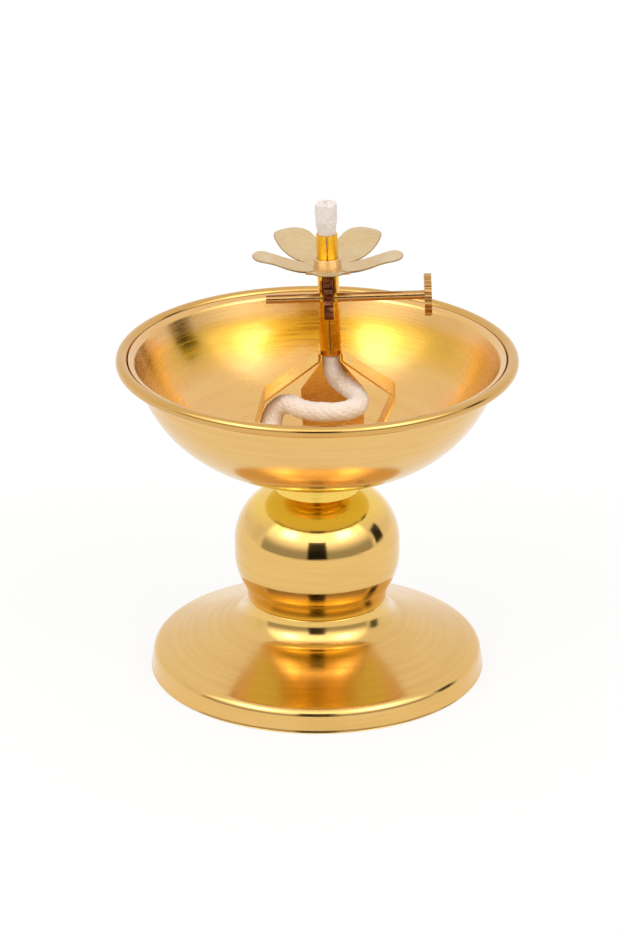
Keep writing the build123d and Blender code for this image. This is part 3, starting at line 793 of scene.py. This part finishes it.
# painted shade: the yarn is darker in the braid's grooves, more so towards the tail
grooveShadeDepth = ramp(
    tree, alongWick, cottonLook["grooveFrom"], cottonLook["grooveTo"],
    cottonLook["grooveLit"], cottonLook["grooveTail"],
)
grooveShadeShare = calc(tree, 'MULTIPLY', ramp(tree, standsOut, 0.85, 0.45), grooveShadeDepth)
tone = blendColour(tree, grooveShadeShare, tone, cottonLook["groove"])
oiled = ramp(tree, alongWick, cottonLook["oilFrom"], cottonLook["oilTo"])
tone = blendColour(tree, oiled, tone, cottonLook["oil"])
# painted shade: the wick is darker brown where it runs inside the stand's tube
tubeShadeStart = ramp(tree, alongWick, cottonLook["tubeShadeFrom"], cottonLook["tubeShadeFull"])
tubeShadeEnd = ramp(tree, alongWick, cottonLook["tubeShadeTo"], cottonLook["tubeShadeFade"])
tubeShaded = calc(tree, 'MULTIPLY', calc(tree, 'MULTIPLY', tubeShadeStart, tubeShadeEnd), cottonLook["tubeShadeShare"])
tone = blendColour(tree, tubeShaded, tone, cottonLook["tubeShade"])
tufted = calc(tree, 'MULTIPLY', ramp(tree, tuft, 0.4, 0.75), cottonLook["tuftShare"])
tree.links.new(blendColour(tree, tufted, tone, cottonLook["tuft"]), shader.inputs["Base Color"])
relief = calc(tree, 'MULTIPLY_ADD', tuft, 0.5, yarn)
fuzz = addNode(tree, 'ShaderNodeBump', {"Strength": 0.6, "Distance": 0.00015, "Height": relief})
tree.links.new(fuzz.outputs[0], shader.inputs["Normal"])
tree.links.new(ramp(tree, yarn, 0.2, 0.8, 0.95, 0.8), shader.inputs["Roughness"])
shader.inputs["Sheen Weight"].default_value = 0.25
shader.inputs["Sheen Roughness"].default_value = 0.5
wickPiece.data.materials.append(cotton)
print("cotton made")

# Plain white floor that keeps a soft shadow and shows white in the metal
ground = dict(half=3000, white=(0.84, 0.84, 0.835, 1), glow=(1, 1, 0.99, 1), glowShare=0.82)
corners = [(x * ground["half"], y * ground["half"], 0) for x, y in ((-1, -1), (1, -1), (1, 1), (-1, 1))]
floor = newMesh("floor", corners, [(0, 1, 2, 3)])
floorWhite = bpy.data.materials.new("floorWhite")
floorWhite.use_nodes = True
tree = floorWhite.node_tree
tree.nodes.clear()
rays = addNode(tree, 'ShaderNodeLightPath').outputs
seen = calc(tree, 'MAXIMUM', rays["Is Camera Ray"], rays["Is Glossy Ray"])
share = calc(tree, 'MULTIPLY', seen, ground["glowShare"])
matte = addNode(tree, 'ShaderNodeBsdfDiffuse', {"Color": ground["white"]}).outputs[0]
glow = addNode(tree, 'ShaderNodeEmission', {"Color": ground["glow"], "Strength": 1.0}).outputs[0]
mixed = addNode(tree, 'ShaderNodeMixShader', {0: share, 1: matte, 2: glow}).outputs[0]
addNode(tree, 'ShaderNodeOutputMaterial', {"Surface": mixed})
floor.data.materials.append(floorWhite)

# Studio: a white tent with a softbox at each side of the camera and narrow dark gaps between its panels
studio = dict(
    tent=0.94, low=0.42, box=1.9, overhead=0.55, boxTo=84, boxSoft=4, riseFrom=9, riseTo=36, fallFrom=53, fallTo=66,
    core=1.7, coreFrom=34, coreTo=62, coreSoft=9, coreLow=33, coreHigh=51, coreHeightSoft=6,
    gap=0.03, frontGap=13.5, frontSoft=1.5, gapLow=-2, gapHigh=33, gapSoft=2,
    sideFrom=90, sideTo=107, sideSoft=2, sideLow=2, sideHigh=25, sideHeightSoft=4, leftGap=0.2,
)
world = bpy.data.worlds.new("studio")
scene.world = world
world.use_nodes = True
tree = world.node_tree
tree.nodes.clear()
direction = addNode(tree, 'ShaderNodeTexCoord').outputs["Generated"]
towards = addNode(tree, 'ShaderNodeSeparateXYZ', {0: direction}).outputs
degree = 180 / math.pi
heightDeg = calc(tree, 'MULTIPLY', calc(tree, 'ARCSINE', towards["Z"]), degree)
frontwards = calc(tree, 'MULTIPLY', towards["Y"], -1.0)
turnDeg = calc(tree, 'MULTIPLY', calc(tree, 'ARCTAN2', towards["X"], frontwards), degree)
sideDeg = calc(tree, 'ABSOLUTE', turnDeg)


def band(value, low, high, soft):
    # 1 between low and high, 0 outside, with soft edges
    below, above = ramp(tree, value, low - soft, low + soft), ramp(tree, value, high + soft, high - soft)
    return calc(tree, 'MULTIPLY', below, above)


# the front is dim near the floor, brightest at half height, and has a hotter core at each side
rise = ramp(tree, heightDeg, studio["riseFrom"], studio["riseTo"], studio["low"], studio["box"])
fall = ramp(tree, heightDeg, studio["fallFrom"], studio["fallTo"], 1.0, studio["overhead"])
coreSide = band(sideDeg, studio["coreFrom"], studio["coreTo"], studio["coreSoft"])
coreHeight = band(heightDeg, studio["coreLow"], studio["coreHigh"], studio["coreHeightSoft"])
hotter = calc(tree, 'MULTIPLY_ADD', calc(tree, 'MULTIPLY', coreSide, coreHeight), studio["core"], 1.0)
front = calc(tree, 'MULTIPLY', calc(tree, 'MULTIPLY', rise, fall), hotter)
isFront = ramp(tree, sideDeg, studio["boxTo"] + studio["boxSoft"], studio["boxTo"] - studio["boxSoft"])
level = addNode(tree, 'ShaderNodeMix', {0: isFront, 2: studio["tent"], 3: front}).outputs[0]
# dark gaps: one in front of the camera, one at each side, the left one faint
gapHeight = band(heightDeg, studio["gapLow"], studio["gapHigh"], studio["gapSoft"])
sideHeight = band(heightDeg, studio["sideLow"], studio["sideHigh"], studio["sideHeightSoft"])
frontTurn = band(turnDeg, -studio["frontGap"], studio["frontGap"], studio["frontSoft"])
rightTurn = band(turnDeg, studio["sideFrom"], studio["sideTo"], studio["sideSoft"])
leftTurn = band(turnDeg, -studio["sideTo"], -studio["sideFrom"], studio["sideSoft"])
frontGap = calc(tree, 'MULTIPLY', frontTurn, gapHeight)
rightGap = calc(tree, 'MULTIPLY', rightTurn, sideHeight)
faintGap = calc(tree, 'MULTIPLY', calc(tree, 'MULTIPLY', leftTurn, sideHeight), studio["leftGap"])
dark = calc(tree, 'MAXIMUM', calc(tree, 'MAXIMUM', frontGap, rightGap), faintGap)
level = calc(tree, 'MULTIPLY', level, ramp(tree, dark, 0, 1, 1, studio["gap"]))
rays = addNode(tree, 'ShaderNodeLightPath').outputs
level = calc(tree, 'MAXIMUM', level, rays["Is Camera Ray"])
tent = addNode(tree, 'ShaderNodeBackground', {"Color": (1, 1, 1, 1), "Strength": level})
addNode(tree, 'ShaderNodeOutputWorld', {"Surface": tent.outputs[0]})
print("studio lit")
